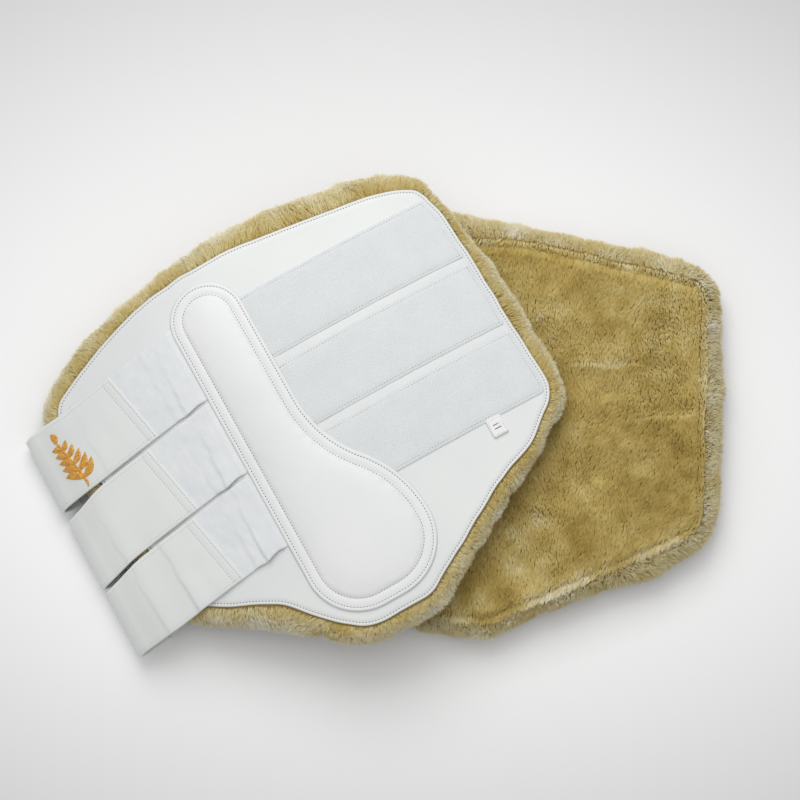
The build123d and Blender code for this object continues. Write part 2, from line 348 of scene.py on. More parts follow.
def distance_to(loop, points):
    """Distance of each point from a closed outline, positive inside."""
    a, b = loop, np.roll(loop, -1, 0)
    nearest = np.full(len(points), 1e9)
    inside = np.zeros(len(points), bool)
    for (ax, ay), (bx, by) in zip(a, b):
        dx, dy = bx - ax, by - ay
        t = np.clip(((points[:, 0] - ax) * dx + (points[:, 1] - ay) * dy) / (dx * dx + dy * dy), 0, 1)
        gap = np.hypot(points[:, 0] - ax - t * dx, points[:, 1] - ay - t * dy)
        nearest = np.minimum(nearest, gap)
        if ay != by:
            crosses = (points[:, 1] < ay) != (points[:, 1] < by)
            inside ^= crosses & (points[:, 0] < ax + (points[:, 1] - ay) * dx / dy)
    return np.where(inside, nearest, -nearest)


def plan_mesh(loop, spacing, rings=()):
    """Points and triangles that fill an outline. The outline's own points come first."""
    low, high = loop.min(0), loop.max(0)
    rows = np.arange(low[1], high[1], spacing * 0.866)
    columns = np.arange(low[0], high[0], spacing)
    grid_x, grid_y = np.meshgrid(columns, rows)
    grid_x = grid_x + (np.arange(len(rows))[:, None] % 2) * spacing / 2
    inner = np.stack([grid_x.ravel(), grid_y.ravel()], 1)
    inner += np.random.default_rng(1).uniform(-0.12, 0.12, inner.shape) * spacing
    reach = max(rings) if rings else 0.0
    inner = inner[distance_to(loop, inner) > reach + 0.6 * spacing]
    ring_points = [offset_loop(loop, -ring) for ring in rings]
    points = np.vstack([loop] + ring_points + [inner])
    edges = [(i, (i + 1) % len(loop)) for i in range(len(loop))]
    made = delaunay_2d_cdt([Vector(p) for p in points], edges, [], 1, 1e-4)
    flat = np.array([(v.x, v.y) for v in made[0]])
    faces = np.array([face for face in made[2] if len(face) == 3])
    order = np.full(len(flat), -1)
    for new, old in enumerate(made[3]):
        order[new] = old[0] if old else len(points) + new
    rank = np.argsort(order, kind="stable")
    place = np.empty(len(flat), int)
    place[rank] = np.arange(len(flat))
    flat, faces = flat[rank], place[faces]
    a, b, c = flat[faces[:, 0]], flat[faces[:, 1]], flat[faces[:, 2]]
    area = (b[:, 0] - a[:, 0]) * (c[:, 1] - a[:, 1]) - (b[:, 1] - a[:, 1]) * (c[:, 0] - a[:, 0])
    faces[area < 0] = faces[area < 0][:, ::-1]
    return flat, faces


# ---- meshes

def make_object(lay, name, points, faces, materials, slots=None):
    """A mesh object of one boot, from model frame points and triangles."""
    name = lay.named(name)
    mesh = bpy.data.meshes.new(name)
    mesh.vertices.add(len(points))
    mesh.vertices.foreach_set("co", np.ascontiguousarray(points, np.float32).ravel())
    mesh.loops.add(len(faces) * 3)
    mesh.loops.foreach_set("vertex_index", np.ascontiguousarray(faces, np.int32).ravel())
    mesh.polygons.add(len(faces))
    mesh.polygons.foreach_set("loop_start", np.arange(0, len(faces) * 3, 3, dtype=np.int32))
    if slots is not None:
        mesh.polygons.foreach_set("material_index", np.ascontiguousarray(slots, np.int32))
    for material in materials:
        mesh.materials.append(material)
    mesh.update(calc_edges=True)
    mesh.polygons.foreach_set("use_smooth", np.full(len(faces), True))
    mesh.validate()
    made = bpy.data.objects.new(name, mesh)
    bpy.context.scene.collection.objects.link(made)
    return made


def boot_object(lay, name, local, faces, materials, slots=None):
    """A mesh object of one boot, from rows of x, y and h."""
    if not lay.arched:
        faces = faces[:, ::-1]
    return make_object(lay, name, lay.place(local), faces, materials, slots)


def quads(grid_a, grid_b, grid_c, grid_d):
    """Two triangles for each quad."""
    first = np.stack([grid_a.ravel(), grid_b.ravel(), grid_c.ravel()], 1)
    second = np.stack([grid_a.ravel(), grid_c.ravel(), grid_d.ravel()], 1)
    return np.vstack([first, second])


def wall(upper, lower):
    """Faces between closed rings of point numbers."""
    return quads(upper, np.roll(upper, -1, -1), np.roll(lower, -1, -1), lower)


def level(height):
    """A flat face of a sheet, at one height."""
    return lambda x, y, depth: height + 0.0 * x


def sheet_solid(loop, spacing, top, bottom, rings=(), edge=0.7):
    """A thin closed body with a round edge over an outline: rows of x, y and h, and faces."""
    inner_loop = offset_loop(loop, -edge)
    flat, faces = plan_mesh(inner_loop, spacing, rings)
    count, rim = len(flat), len(inner_loop)
    depth = distance_to(loop, flat)
    high, low = top(flat[:, 0], flat[:, 1], depth), bottom(flat[:, 0], flat[:, 1], depth)
    points = [np.column_stack([flat, high]), np.column_stack([flat, low])]
    middle, half = (high[:rim] + low[:rim]) / 2, (high[:rim] - low[:rim]) / 2
    for angle in (45, 90, 135):
        out = offset_loop(loop, edge * (sin(radians(angle)) - 1))
        points.append(np.column_stack([out, middle + half * cos(radians(angle))]))
    ring = np.arange(rim)
    rows = [ring, 2 * count + ring, 2 * count + rim + ring, 2 * count + 2 * rim + ring, count + ring]
    sides = [wall(upper, lower) for upper, lower in zip(rows, rows[1:])]
    return np.vstack(points), np.vstack([faces, faces[:, ::-1] + count] + sides)


# ---- materials

def linear(color):
    """A colour from 0 to 255 as seen, made linear, with its alpha."""
    share = np.array(color) / 255.0
    share = np.where(share <= 0.04045, share / 12.92, ((share + 0.055) / 1.055)**2.4)
    return (*share.tolist(), 1.0)


class Finish:
    """A material with one Principled shader, and the textures that feed it."""

    def __init__(self, name, color, rough, turn=0.0, mapping=None, **extra):
        self.material = bpy.data.materials.new(name)
        self.material.use_nodes = True
        self.inputs = self.material.node_tree.nodes["Principled BSDF"].inputs
        self.mapping = mapping or {"Rotation": (0.0, 0.0, -turn)}
        self.place = None
        self.inputs["Base Color"].default_value = linear(color)
        self.inputs["Roughness"].default_value = rough
        for socket, value in extra.items():
            self.inputs[socket.replace("_", " ")].default_value = value

    def node(self, kind, **settings):
        """A node with its settings; a setting that names an input sets that input."""
        node = self.material.node_tree.nodes.new(f"ShaderNode{kind}")
        for key, value in settings.items():
            socket = key.replace("_", " ")
            if socket in node.inputs:
                node.inputs[socket].default_value = value
            else:
                setattr(node, key, value)
        return node

    def link(self, source, target):
        self.material.node_tree.links.new(source, target)

    def texture(self, kind, **settings):
        """A texture that is turned with the boot, in metres."""
        if self.place is None:
            self.place = self.node("Mapping", **self.mapping)
            self.link(self.node("TexCoord").outputs["Object"], self.place.inputs["Vector"])
        made = self.node(f"Tex{kind}", **settings)
        self.link(self.place.outputs["Vector"], made.inputs["Vector"])
        return made

    def tint(self, fac, dark, light):
        """Colours the shader between two colours, by a factor."""
        ramp = self.node("ValToRGB")
        for element, position, color in zip(ramp.color_ramp.elements, (0.3, 0.7), (dark, light)):
            element.position, element.color = position, linear(color)
        self.link(fac, ramp.inputs["Fac"])
        self.link(ramp.outputs["Color"], self.inputs["Base Color"])

    def bump(self, height, strength, distance):
        """Adds a bump from a height, over the earlier ones."""
        node = self.node("Bump", Strength=strength, Distance=distance)
        self.link(height, node.inputs["Height"])
        for earlier in self.inputs["Normal"].links:
            self.link(earlier.from_socket, node.inputs["Normal"])
        self.link(node.outputs["Normal"], self.inputs["Normal"])


def leather(name, turn, dark, light, rough):
    """Coated synthetic leather: fine grain, soft clouding and uneven gloss."""
    finish = Finish(name, light, rough, turn, Coat_Weight=0.08, Coat_Roughness=0.35)
    clouds = finish.texture("Noise", Scale=14.0, Detail=3.0)
    grain = finish.texture("Voronoi", Scale=950.0, feature="SMOOTH_F1")
    pores = finish.texture("Noise", Scale=420.0, Detail=4.0, Roughness=0.6)
    finish.tint(clouds.outputs["Fac"], dark, light)
    gloss = finish.node("MapRange", To_Min=rough - 0.05, To_Max=rough + 0.07)
    finish.link(pores.outputs["Fac"], gloss.inputs["Value"])
    finish.link(gloss.outputs["Result"], finish.inputs["Roughness"])
    finish.bump(grain.outputs["Distance"], 0.25, 0.00012)
    finish.bump(pores.outputs["Fac"], 0.3, 0.0001)
    return finish.material


def woven(name, turn, dark, light, pitch_x, pitch_y, depth, fuzz, rough=0.85):
    """Narrow fabric: ribs along and across it, with a little fuzz."""
    finish = Finish(name, light, rough, turn, Sheen_Weight=0.25, Sheen_Roughness=0.5)
    ribs = finish.texture("Wave", Scale=0.314 / pitch_y, Distortion=0.4, bands_direction="Y")
    rows = finish.texture("Wave", Scale=0.314 / pitch_x, Distortion=0.6, bands_direction="X")
    lint = finish.texture("Noise", Scale=900.0, Detail=3.0, Roughness=0.7)
    clouds = finish.texture("Noise", Scale=60.0, Detail=5.0, Roughness=0.65)
    finish.tint(clouds.outputs["Fac"], dark, light)
    finish.bump(ribs.outputs["Fac"], 0.5, depth)
    finish.bump(rows.outputs["Fac"], 0.5, depth * 0.7)
    finish.bump(lint.outputs["Fac"], 0.6, fuzz)
    return finish.material


def plain_fabric(name, dark, light, scale, depth):
    """A soft matt surface with a mottled colour, for backings and foam."""
    finish = Finish(name, light, 0.95, Sheen_Weight=0.3)
    cells = finish.texture("Noise", Scale=scale, Detail=6.0, Roughness=0.7)
    finish.tint(cells.outputs["Fac"], dark, light)
    finish.bump(cells.outputs["Fac"], 0.7, depth)
    return finish.material


def gold_thread():
    """Glossy golden embroidery thread."""
    finish = Finish(
        "emblem_gold", (222, 160, 66), 0.36, Sheen_Weight=0.5, Sheen_Roughness=0.3, Metallic=0.25)
    clouds = finish.texture("Noise", Scale=700.0, Detail=2.0)
    finish.tint(clouds.outputs["Fac"], (196, 132, 42), (240, 186, 92))
    return finish.material


# Colours of the pile, from the root's shade to the palest tips.
PILE_TONES = [
    (150, 124, 60), (174, 147, 76), (194, 168, 95), (209, 186, 114), (222, 205, 148), (234, 224, 186),
    (247, 241, 222)]
PILE_STEPS = 13


def pile_materials():
    """The pile's fibres, in even steps between its colours."""
    steps, places = np.linspace(0, len(PILE_TONES) - 1, PILE_STEPS), range(len(PILE_TONES))
    colors = np.stack([np.interp(steps, places, channel) for channel in zip(*PILE_TONES)], 1)
    sheen = {"Sheen_Weight": 0.35, "Sheen_Roughness": 0.4, "Specular_IOR_Level": 0.2}
    return [Finish(f"pile_{k}", color, 0.85, **sheen).material for k, color in enumerate(colors)]


class Materials:
    """Every material, made once. Woven and grained ones are turned to each boot."""

    def __init__(self, lays):
        self.pile = pile_materials()
        self.skin = plain_fabric("fleece_backing", (176, 148, 80), (198, 172, 102), 260.0, 0.0006)
        self.foam = plain_fabric("foam", (206, 206, 198), (222, 222, 214), 700.0, 0.0003)
        self.shell, self.pad, self.tab, self.loop, self.elastic = {}, {}, {}, {}, {}
        for lay in lays:
            key, turn = lay.letter, lay.turn
            self.shell[key] = leather(f"shell_{key}", turn, (224, 227, 226), (231, 233, 231), 0.42)
            self.pad[key] = leather(f"pad_{key}", turn, (230, 232, 231), (237, 238, 237), 0.4)
            self.tab[key] = leather(f"tab_{key}", turn, (223, 226, 224), (231, 233, 231), 0.42)
            self.loop[key] = woven(
                f"loop_{key}", turn, (225, 229, 230), (231, 234, 235), 0.0011, 0.0009, 0.00028, 0.0003)
            self.elastic[key] = woven(
                f"elastic_{key}", turn - 0.115, (224, 227, 229), (232, 234, 236), 0.0009, 0.0013, 0.00011,
                0.00012)
        self.thread = Finish("thread_grey", (74, 75, 73), 0.6, Sheen_Weight=0.4).material
        self.pale_thread = Finish("thread_white", (158, 159, 156), 0.6, Sheen_Weight=0.4).material
        self.hook = woven("hook", 0.0, (176, 178, 180), (196, 198, 200), 0.0016, 0.0016, 0.0006, 0.0001, 0.5)
        self.tag = woven(
            "tag", lays[0].turn, (240, 241, 241), (249, 249, 248), 0.0004, 0.0004, 0.0001, 0.00005)
        self.ink = Finish("tag_mark", (70, 70, 72), 0.8).material
        self.gold = gold_thread()


# ---- baking pieces in place, and hiding the CAD nodes they stand in for

def bend_at_wing(obj, lay, reach=15.0):
    """Bakes the piece's placement into its mesh. The places either side of the wing's hinge, reach away, are
    worked out but not used, and the piece does not bend.
    """
    start = lay.model_point(WING_X - reach, 150.0, 10.0)
    end = lay.model_point(WING_X + reach, 150.0, 10.0)
    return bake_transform(obj)


def bend_at_root(obj, lay, name):
    """Bakes the piece's placement into its mesh. The strap's body and the places where it leaves the strike
    pad are handed on but not used, and the piece does not bend.
    """
    start = lay.model_point(-0.5, 150.0, 20.0)
    end = lay.model_point(-9.0, 150.0, 20.0)
    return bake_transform(obj, lay.body, lay.named(f"strap_{name}"), start, end)


def stands_for(piece, lay, slot, *nodes):
    """Hides these CAD nodes of its boot, which the piece stands in for. The arguments piece and slot are not
    used.
    """
    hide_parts(*[lay.named(node) for node in nodes])


# ---- stitching

STITCH_PITCH = 2.05
BEAD = np.array([(-1, 0, 0), (0, -1, 0), (1, 0, 0), (0, 1, 0), (0, 0, 1), (0, 0, -1)], float)
BEAD_FACES = np.array([
    (0, 1, 4), (1, 2, 4), (2, 3, 4), (3, 0, 4), (1, 0, 5), (2, 1, 5), (3, 2, 5), (0, 3, 5)])


def stitches(line_points, lifted, length=1.25, width=0.42, height=0.34):
    """Beads of thread along a line of model frame points. Lifted is the same line, a little higher."""
    ahead = unit(np.gradient(line_points, axis=0))
    up = unit(lifted - line_points)
    side = np.cross(up, ahead)
    frames = np.stack([ahead * length / 2, side * width / 2, up * height], 1) * MM
    points = line_points[:, None, :] + np.einsum("kc,ncd->nkd", BEAD, frames)
    faces = BEAD_FACES[None] + 6 * np.arange(len(points))[:, None, None]
    return points.reshape(-1, 3), faces.reshape(-1, 3)


def sewn(name, rows, materials, lay, **sizes):
    """One object of stitches from several (line, lifted line) rows."""
    all_points, all_faces, count = [], [], 0
    for line_points, lifted in rows:
        points, faces = stitches(line_points, lifted, **sizes)
        all_points.append(points)
        all_faces.append(faces + count)
        count += len(points)
    return make_object(lay, name, np.vstack(all_points), np.vstack(all_faces), materials)


def shell_row(lay, flat, height, pitch=STITCH_PITCH, closed=True):
    """A row of stitch places along a flat line, on a height, in the model frame."""
    flat = resample(flat, pitch, closed)
    return [lay.place(np.column_stack([flat, np.full(len(flat), high)])) for high in (height, height + 0.5)]


# ---- shell, pad, loops and lining

SHELL_STITCH = 2.0


def shell_top(x, y, depth):
    """Height of the outer shell: a pressed stitch line, a soft lip and puffed bands."""
    height = SHELL_TOP - 0.3 * bump((depth - SHELL_STITCH) / 0.9) + 0.12 * bump((depth - 4.5) / 1.8)
    for k in (1, 2):
        middle = LOOP_LOW_Y + k * LOOP_PITCH - (LOOP_PITCH - LOOP_WIDTH) / 2
        height = height + 0.75 * bump((y - middle) / 1.9) * smooth((x - 30) / 10) * smooth((190 - x) / 6)
    return height


def outer_shell(lay, mats):
    """The coated outer shell and its edge stitching."""
    loop, _ = soft_loop(lay.letter, 2.2)
    local, faces = sheet_solid(
        loop, 4.5, shell_top, level(FOAM_TOP), rings=(0.6, 1.3, 2.0, 2.7, 3.6, 5.4, 8.0))
    piece = boot_object(lay, "shell", local, faces, [mats.shell[lay.letter]])
    bend_at_wing(piece, lay)
    stands_for(piece, lay, "shell_leather", "outer_shell", "outer_shell_wing")
    row = shell_row(lay, offset_loop(loop, -SHELL_STITCH), SHELL_TOP - 0.28)
    thread = sewn("shell_stitching", [row], [mats.thread], lay, length=1.35, width=0.75, height=0.48)
    bend_at_wing(thread, lay)
    return piece


def relax(values, faces, fixed, source, reach, rounds):
    """Screened membrane over a mesh: fixed points stay, the others settle towards source."""
    edges = np.unique(np.sort(np.vstack([faces[:, :2], faces[:, 1:], faces[:, ::2]]), 1), axis=0)
    a, b = edges[:, 0], edges[:, 1]
    degree = np.bincount(a, minlength=len(values)) + np.bincount(b, minlength=len(values))
    for _ in range(rounds):
        total = np.bincount(a, values[b], len(values)) + np.bincount(b, values[a], len(values))
        values = np.where(fixed, values, (source + reach * total / np.maximum(degree, 1)) / (1 + reach))
    return values


PAD_ROWS, PAD_BASE, PAD_PUFF = (2.6, 8.4), 20.9, 3.0


def pad_height(flat, faces, depth):
    """Heights of the strike pad over its plan: a flat sewn flange and a crowned middle."""
    fixed = depth < PAD_FLANGE
    crown = relax(np.zeros(len(flat)), faces, fixed, 1.0, 4 * (7.5 / 2.0)**2, 500)
    crown = crown / crown.max()
    height = PAD_BASE + PAD_PUFF * crown
    for row in PAD_ROWS:
        height = height - 0.28 * bump((depth - row) / 0.85)
    height = height + 0.15 * bump((depth - 5.6) / 1.9)
    pucker = noise(flat[:, 0], flat[:, 1], 4.2, 31)
    return height + 0.16 * pucker * bump((depth - 10.5) / 2.6)


def strike_pad(lay, mats):
    """The strike pad's cover with its two rows of stitching, and the foam in it."""
    loop = resample(pad_loop(), 1.6)
    inner = offset_loop(loop, -0.8)
    flat, faces = plan_mesh(inner, 2.0, (1.0, 1.8, 2.6, 4.6, 6.6, 7.6, 8.4, 9.4))
    depth = distance_to(loop, flat)
    high = pad_height(flat, faces, depth)
    solid = [np.column_stack([flat, high]), np.column_stack([flat, np.full(len(flat), SHELL_TOP - 0.1)])]
    rim, count = len(inner), len(flat)
    solid.append(np.column_stack([loop, (high[:rim] + SHELL_TOP) / 2]))
    ring = np.arange(rim)
    sides = [wall(ring, 2 * count + ring), wall(2 * count + ring, count + ring)]
    faces = np.vstack([faces, faces[:, ::-1] + count] + sides)
    cover = boot_object(lay, "strike_pad", np.vstack(solid), faces, [mats.pad[lay.letter]])
    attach(cover, lay.body)
    stands_for(cover, lay, "pad_leather", "strike_pad_cover")
    rows = [shell_row(lay, offset_loop(loop, -row), PAD_BASE - 0.26) for row in PAD_ROWS]
    thread = sewn("strike_pad_stitching", rows, [mats.thread], lay, length=1.35, width=0.72, height=0.46)
    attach(thread, lay.body)

    core_loop = offset_loop(loop, -PAD_FLANGE - 1.5)
    core, core_faces = sheet_solid(
        resample(core_loop, 3.0), 5.0,
        lambda x, y, depth: PAD_BASE - 0.3 + PAD_PUFF * (1 - np.exp(-np.maximum(depth, 0) / 9.0)),
        level(SHELL_TOP + 0.2), rings=(4.0,))
    foam = boot_object(lay, "strike_pad_filling", core, core_faces, [mats.foam])
    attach(foam, lay.body)
    stands_for(foam, lay, "foam", "strike_pad_foam")


def strip_loop(lay, low):
    """Outline of a loop strip: its right end follows the edge of the shell."""
    edge, _ = soft_loop(lay.letter, 2.0)
    edge = offset_loop(edge, -LOOP_EDGE_GAP)
    edge = edge[(edge[:, 0] > 150) & (edge[:, 1] > low) & (edge[:, 1] < low + LOOP_WIDTH)]
    high = np.array([(edge[0, 0], low + LOOP_WIDTH)])
    last = np.array([(edge[-1, 0], low)])
    right = np.vstack([high, edge, last])
    left = np.array([(LOOP_START_X, low), (LOOP_START_X, low + LOOP_WIDTH)])
    return np.vstack([left, right])


def loop_strips(lay, mats):
    """Three loop strips across the shell, each sewn round its edge."""
    for k, name in enumerate(STRAP_NAMES):
        low = LOOP_LOW_Y + k * LOOP_PITCH
        loop = resample(strip_loop(lay, low), 2.5)

        def top(x, y, depth):
            ripple = 0.12 * noise(x, y, 7.0, 41 + k)
            pressed = 0.35 * bump((depth - 2.2) / 0.8) + 0.5 * smooth((1.8 - depth) / 1.6)
            return LOOP_TOP + ripple - pressed - 0.3 * smooth((56 - x) / 6)

        local, faces = sheet_solid(loop, 3.6, top, level(SHELL_TOP - 0.2), rings=(1.2, 2.2, 3.2))
        strip = boot_object(lay, f"loop_tape_{name}", local, faces, [mats.loop[lay.letter]])
        bend_at_wing(strip, lay)
        stands_for(strip, lay, "loop_tape", f"loop_strip_{name}", f"loop_strip_{name}_wing")
        lay.named("shell")
        path = offset_loop(loop, -2.2)
        row = shell_row(lay, path, LOOP_TOP - 0.3)
        thread = sewn(f"loop_stitching_{name}", [row], [mats.pale_thread], lay, height=0.3)
        bend_at_wing(thread, lay)


def size_tag(lay, mats):
    """A small blank woven tag at the lower loop strip."""
    x, y = TAG_CENTRE
    half_x, half_y = TAG_SIZE[0] / 2, TAG_SIZE[1] / 2
    loop = resample(box_loop(x - half_x, x + half_x, y - half_y, y + half_y, 0.6), 1.2)
    local, faces = sheet_solid(
        loop, 1.5, lambda x, y, depth: 21.0 + 0.15 * noise(x, y, 4.0, 51),
        level(SHELL_TOP + 0.1), rings=(1.0,), edge=0.3)
    tag = boot_object(lay, "tag", local, faces, [mats.tag])
    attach(tag, lay.wing)
    stands_for(tag, lay, "size_tag", "size_tag")
    lay.named("shell")
    rows = [shell_row(lay, offset_loop(loop, -1.1), 21.0, pitch=1.3)]
    thread = sewn("tag_stitching", rows, [mats.pale_thread], lay, length=0.9, width=0.25, height=0.2)
    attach(thread, lay.wing)
    bars = [line((x - half_x + 3.2, y + rise), (x + half_x - 3.2, y + rise)) for rise in (-1.3, 1.3)]
    rows = [shell_row(lay, bar, 21.0, pitch=0.55, closed=False) for bar in bars]
    mark = sewn("tag_mark", rows, [mats.ink], lay, length=0.7, width=0.9, height=0.16)
    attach(mark, lay.wing)


def foam_sheet(lay, mats):
    """The thin foam between the shell and the fleece."""
    loop, _ = soft_loop(lay.letter, 4.0)
    loop = offset_loop(loop, -2.0)
    local, faces = sheet_solid(loop, 7.0, level(FOAM_TOP - 0.1), level(FLEECE_TOP + 0.2), rings=(5.0,))
    foam = boot_object(lay, "foam", local, faces, [mats.foam])
    bend_at_wing(foam, lay)
    stands_for(foam, lay, "foam", "foam_layer", "foam_layer_wing")


# ---- fleece

# The rim: the middle of its section, the half height of its backing, its pile's length, and
# its length round the section with the angle that this covers. Then the seam behind it.
RIM_HEIGHT, RIM_BASE, RIM_PILE = 10.6, 5.4, 5.6
RIM_ROUND, RIM_SPAN = 17.0, 178
GROOVE = 3.4

# Lines along which the lower boot's pile parts, each by its two ends.
PARTINGS = [((99.0, 179.0), (151.0, 182.0)), ((150.0, 146.0), (190.0, 154.0))]


def skin_depth(x, y, depth):
    """Height of the knitted backing under the pile, over the leg side."""
    lumps = 0.9 * noise(x, y, 21.0, 81) + 0.5 * noise(x, y, 9.0, 82)
    return 2.8 + lumps + 2.4 * smooth((7 - depth) / 7) + 0.8 * bump((depth - GROOVE) / 2.4)


def fleece_skin(lay, mats):
    """The knitted backing that the pile grows from, rolled round the boot's edge."""
    loop, width = soft_loop(lay.letter, 4.0)
    angles = np.radians(np.arange(-90, 91, 22.5))
    rings = []
    for angle in angles:
        out = offset_loop(loop, ((width - RIM_PILE) * cos(angle))[:, None])
        rings.append(np.column_stack([out, np.full(len(loop), RIM_HEIGHT + RIM_BASE * sin(angle))]))
    under, under_faces = plan_mesh(loop, 5.0, (2.5, 4.6, 6.5, 9.0))
    top_loop = offset_loop(loop, -6.0)
    over, over_faces = plan_mesh(top_loop, 12.0)
    count = len(loop)
    deep = skin_depth(under[:, 0], under[:, 1], distance_to(loop, under))
    under_h = np.where(np.arange(len(under)) < count, RIM_HEIGHT - RIM_BASE, deep)
    local = np.vstack([
        np.column_stack([under, under_h]), *rings[1:], np.column_stack([over, np.full(len(over), 14.0)])])
    ring = np.arange(count)
    starts = [0] + [len(under) + i * count for i in range(len(rings))]
    sides = [wall(upper + ring, lower + ring) for lower, upper in zip(starts, starts[1:])]
    faces = np.vstack([under_faces[:, ::-1], over_faces + starts[-1], *sides])
    skin = boot_object(lay, "fleece_backing", local, faces, [mats.skin])
    bend_at_wing(skin, lay)
    stands_for(skin, lay, "fleece", "fleece_lining", "fleece_lining_wing")


def tufted(u, v, cell, seed):
    """For each place, the offset to the middle of its tuft and that tuft's own random numbers."""
    table = np.random.default_rng(seed).uniform(0, 1, (128, 128, 4))
    i, j = np.floor(u / cell).astype(int), np.floor(v / cell).astype(int)
    best = np.full(len(u), 1e9)
    du, dv, own = np.zeros(len(u)), np.zeros(len(u)), np.zeros((len(u), 2))
    for di in (-1, 0, 1):
        for dj in (-1, 0, 1):
            numbers = table[(i + di) % 128, (j + dj) % 128]
            cu = (i + di + numbers[:, 0]) * cell - u
            cv = (j + dj + numbers[:, 1]) * cell - v
            near = cu * cu + cv * cv
            closer = near < best
            best = np.where(closer, near, best)
            du, dv = np.where(closer, cu, du), np.where(closer, cv, dv)
            own = np.where(closer[:, None], numbers[:, 2:], own)
    return du, dv, own


def blades(root, along_u, along_v, out, bend, width, rng, facing=None):
    """Curved tapering fibres. Bend is each fibre's reach along u, v and out, in mm."""
    facing = out if facing is None else facing
    tip = root + along_u * bend[:, :1] + along_v * bend[:, 1:2] + out * bend[:, 2:]
    middle = root + (tip - root) * 0.45 + out * bend[:, 2:] * 0.2
    middle -= (along_u * bend[:, :1] + along_v * bend[:, 1:2]) * 0.16
    flow = unit(tip - root)
    side = unit(np.cross(flow, out) + rng.normal(0, 0.36, root.shape))
    side = unit(side - flow * np.sum(side * flow, 1, keepdims=True))
    side *= np.where(np.sum(np.cross(side, flow) * facing, 1, keepdims=True) < 0, -1.0, 1.0)
    half = (side * width[:, None]) / 2
    points = np.stack([root - half, root + half, middle + half * 0.9, middle - half * 0.9, tip], 1)
    base = 5 * np.arange(len(root))[:, None, None]
    faces = np.array([(0, 1, 2), (0, 2, 3), (3, 2, 4)])[None] + base
    normals = unit(0.8 * facing + 0.25 * np.cross(side, flow))
    return points, faces, np.repeat(normals, 5, axis=0)


def pile_object(lay, name, blade_parts, slots, mats):
    """One piece of pile. Its shading leans towards that of the surface it grows from."""
    points, faces, normals = blade_parts
    points[..., 2] = np.maximum(points[..., 2], 0.25 if lay.arched else -1.6)
    pile = boot_object(lay, f"pile_{name}", points.reshape(-1, 3), faces.reshape(-1, 3), mats.pile, slots)
    pile.data.normals_split_custom_set_from_vertices(lay.direction(normals))
    bend_at_wing(pile, lay)


def tones(shade, rng, drop):
    """Material slots of each fibre's lower and upper part, from a shade between 0 and 1."""
    shade = np.clip(shade + rng.normal(0, 0.03, len(shade)), 0, 0.999)
    upper = 2 + np.floor(shade * (PILE_STEPS - 2)).astype(int)
    lower = np.maximum(upper - drop, 0)
    return np.stack([lower, lower, upper], 1).ravel()


def parting(x, y):
    """Side and nearness of each place to the lines along which the pile parts."""
    side, near = np.zeros((len(x), 2)), np.zeros(len(x))
    for first, last in PARTINGS:
        way = np.subtract(last, first)
        length = np.linalg.norm(way)
        way = way / length
        across = np.array([-way[1], way[0]])
        along = (x - first[0]) * way[0] + (y - first[1]) * way[1]
        off = (x - first[0]) * across[0] + (y - first[1]) * across[1] + 1.5 * noise(along, along, 15.0, 83)
        here = bump(off / 2.2) * smooth(along / 8) * smooth((length - along) / 8)
        side += (here * np.sign(off))[:, None] * across
        near = np.maximum(near, here)
    return side, near


